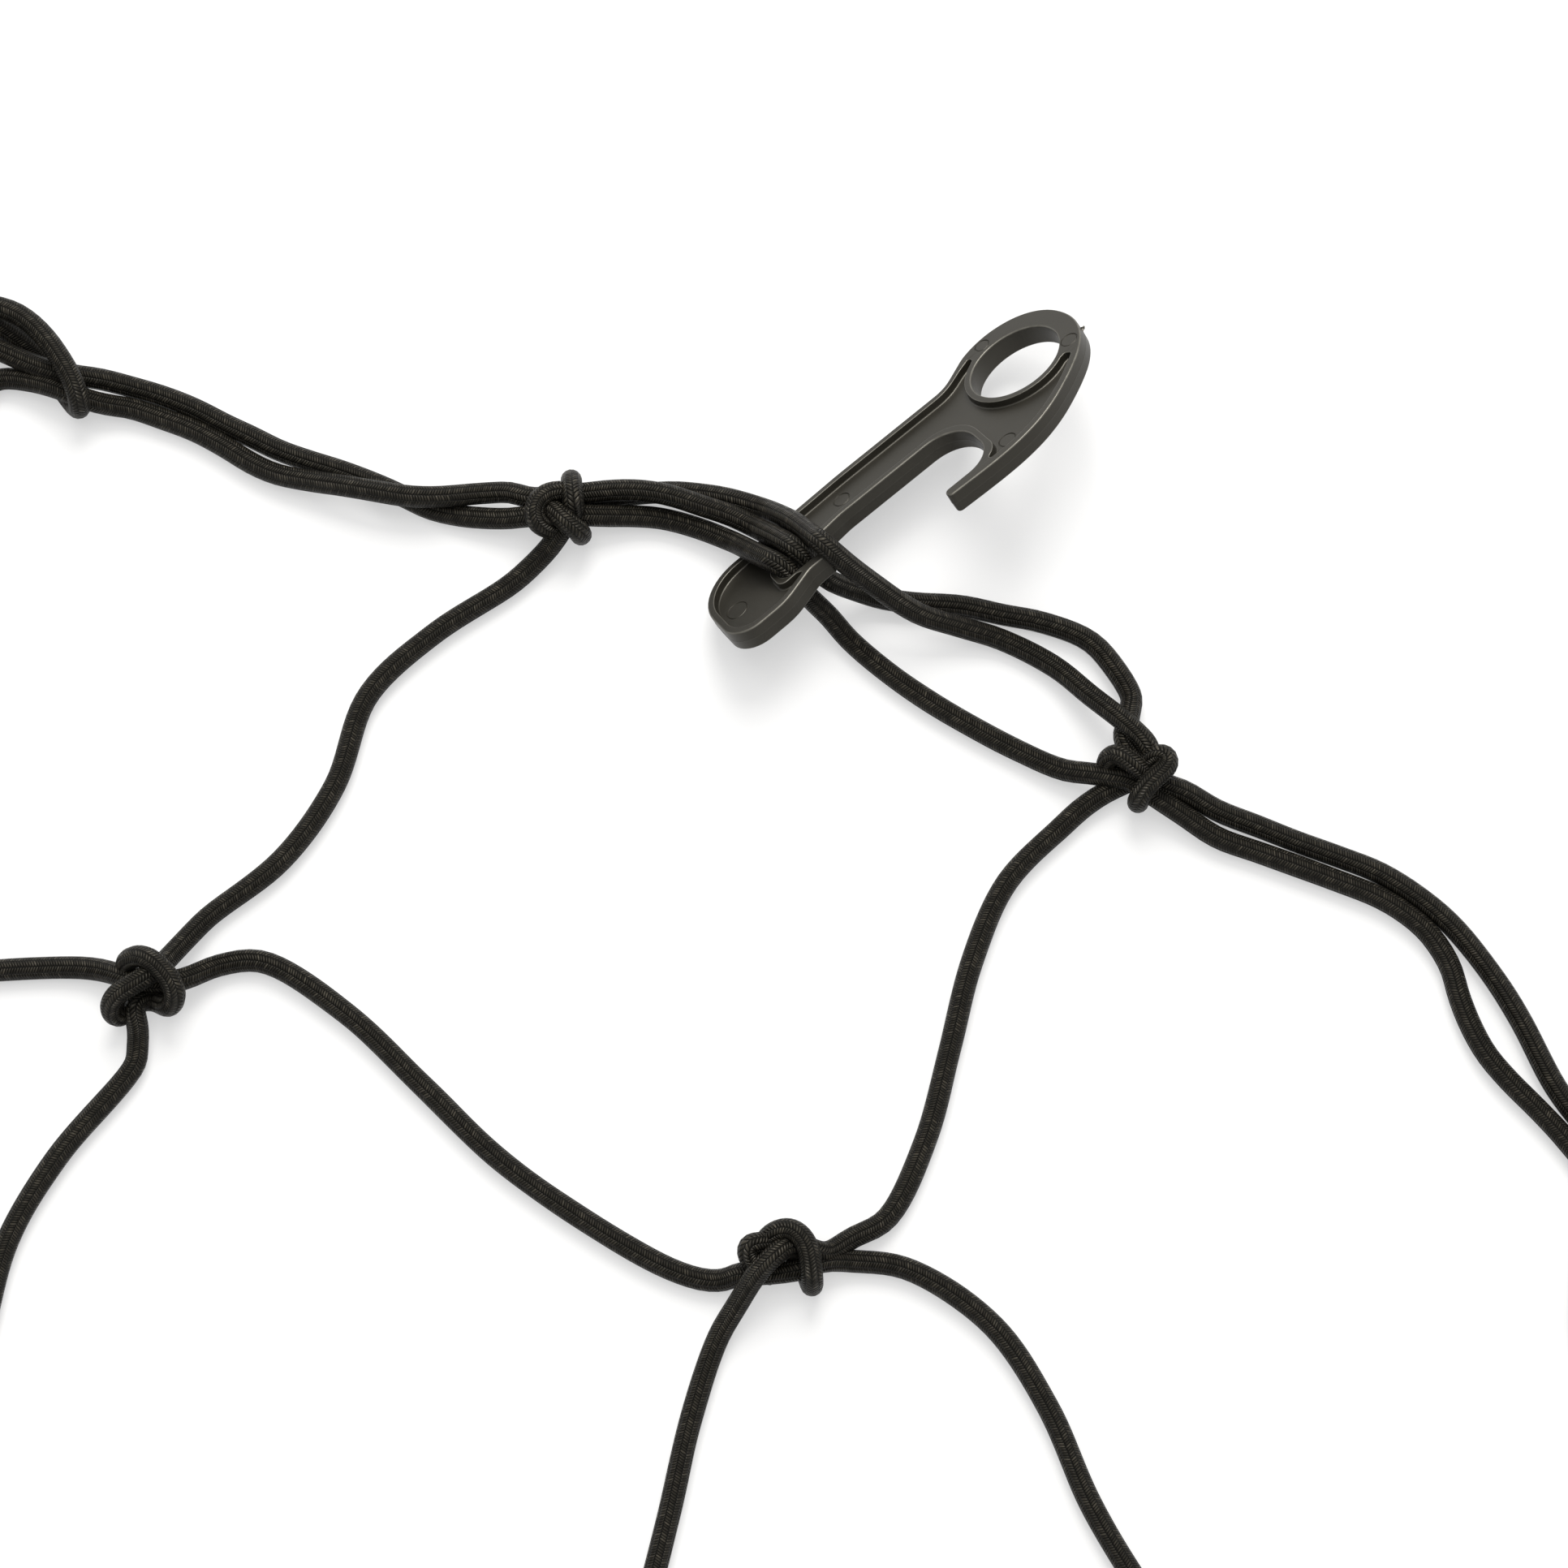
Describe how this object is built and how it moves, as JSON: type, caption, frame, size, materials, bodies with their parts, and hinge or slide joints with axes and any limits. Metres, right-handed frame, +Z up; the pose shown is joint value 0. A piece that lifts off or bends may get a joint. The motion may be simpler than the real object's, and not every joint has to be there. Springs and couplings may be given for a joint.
{
  "type": "pickup bed cargo net",
  "caption": "Elastic shock cord knotted into a rectangular mesh net with a doubled border and moulded plastic hooks along its edge, lying loose and flat.",
  "frame": {"origin": "middle of the net's outline, on the surface that it lies on", "axes": "+X along the net's long side, the way its rows run; +Z up from the surface"},
  "size_m": [1.3256, 1.0606, 0.0353],
  "materials": {
    "shock_cord": "braided matte",
    "hook_plastic": "satin moulded"
  },
  "bodies": {
    "root": {"row_1_1": "shock_cord", "row_1_2": "shock_cord", "row_1_3": "shock_cord", "row_2_1": "shock_cord", "row_2_2": "shock_cord", "row_2_3": "shock_cord", "row_3_1": "shock_cord", "row_3_2": "shock_cord", "row_3_3": "shock_cord", "row_4_1": "shock_cord", "row_4_2": "shock_cord", "row_4_3": "shock_cord", "row_5_1": "shock_cord", "row_5_2": "shock_cord", "row_5_3": "shock_cord", "column_1": "shock_cord", "column_2": "shock_cord", "column_3_1": "shock_cord", "column_3_2": "shock_cord", "column_3_3": "shock_cord", "column_4": "shock_cord", "column_5": "shock_cord", "column_6": "shock_cord", "column_7": "shock_cord", "border_top_1": "shock_cord", "border_top_2": "shock_cord", "turn_top_1": "shock_cord", "turn_top_3": "shock_cord", "turn_top_5": "shock_cord", "turn_top_7": "shock_cord", "border_right_1": "shock_cord", "border_right_2": "shock_cord", "turn_right_1": "shock_cord", "turn_right_3": "shock_cord", "turn_right_5": "shock_cord", "border_bottom_1": "shock_cord", "border_bottom_2": "shock_cord", "turn_bottom_1": "shock_cord", "turn_bottom_3": "shock_cord", "turn_bottom_5": "shock_cord", "turn_bottom_7": "shock_cord", "border_left_1": "shock_cord", "border_left_2": "shock_cord", "turn_left_1": "shock_cord", "turn_left_3": "shock_cord", "turn_left_5": "shock_cord", "hook_1": "hook_plastic", "hook_2": "hook_plastic", "hook_3": "hook_plastic", "hook_4": "hook_plastic", "hook_5": "hook_plastic", "hook_6": "hook_plastic", "hook_7": "hook_plastic", "hook_8": "hook_plastic", "hook_9": "hook_plastic", "hook_10": "hook_plastic", "hook_11": "hook_plastic", "hook_12": "hook_plastic"}
  },
  "joints": []
}
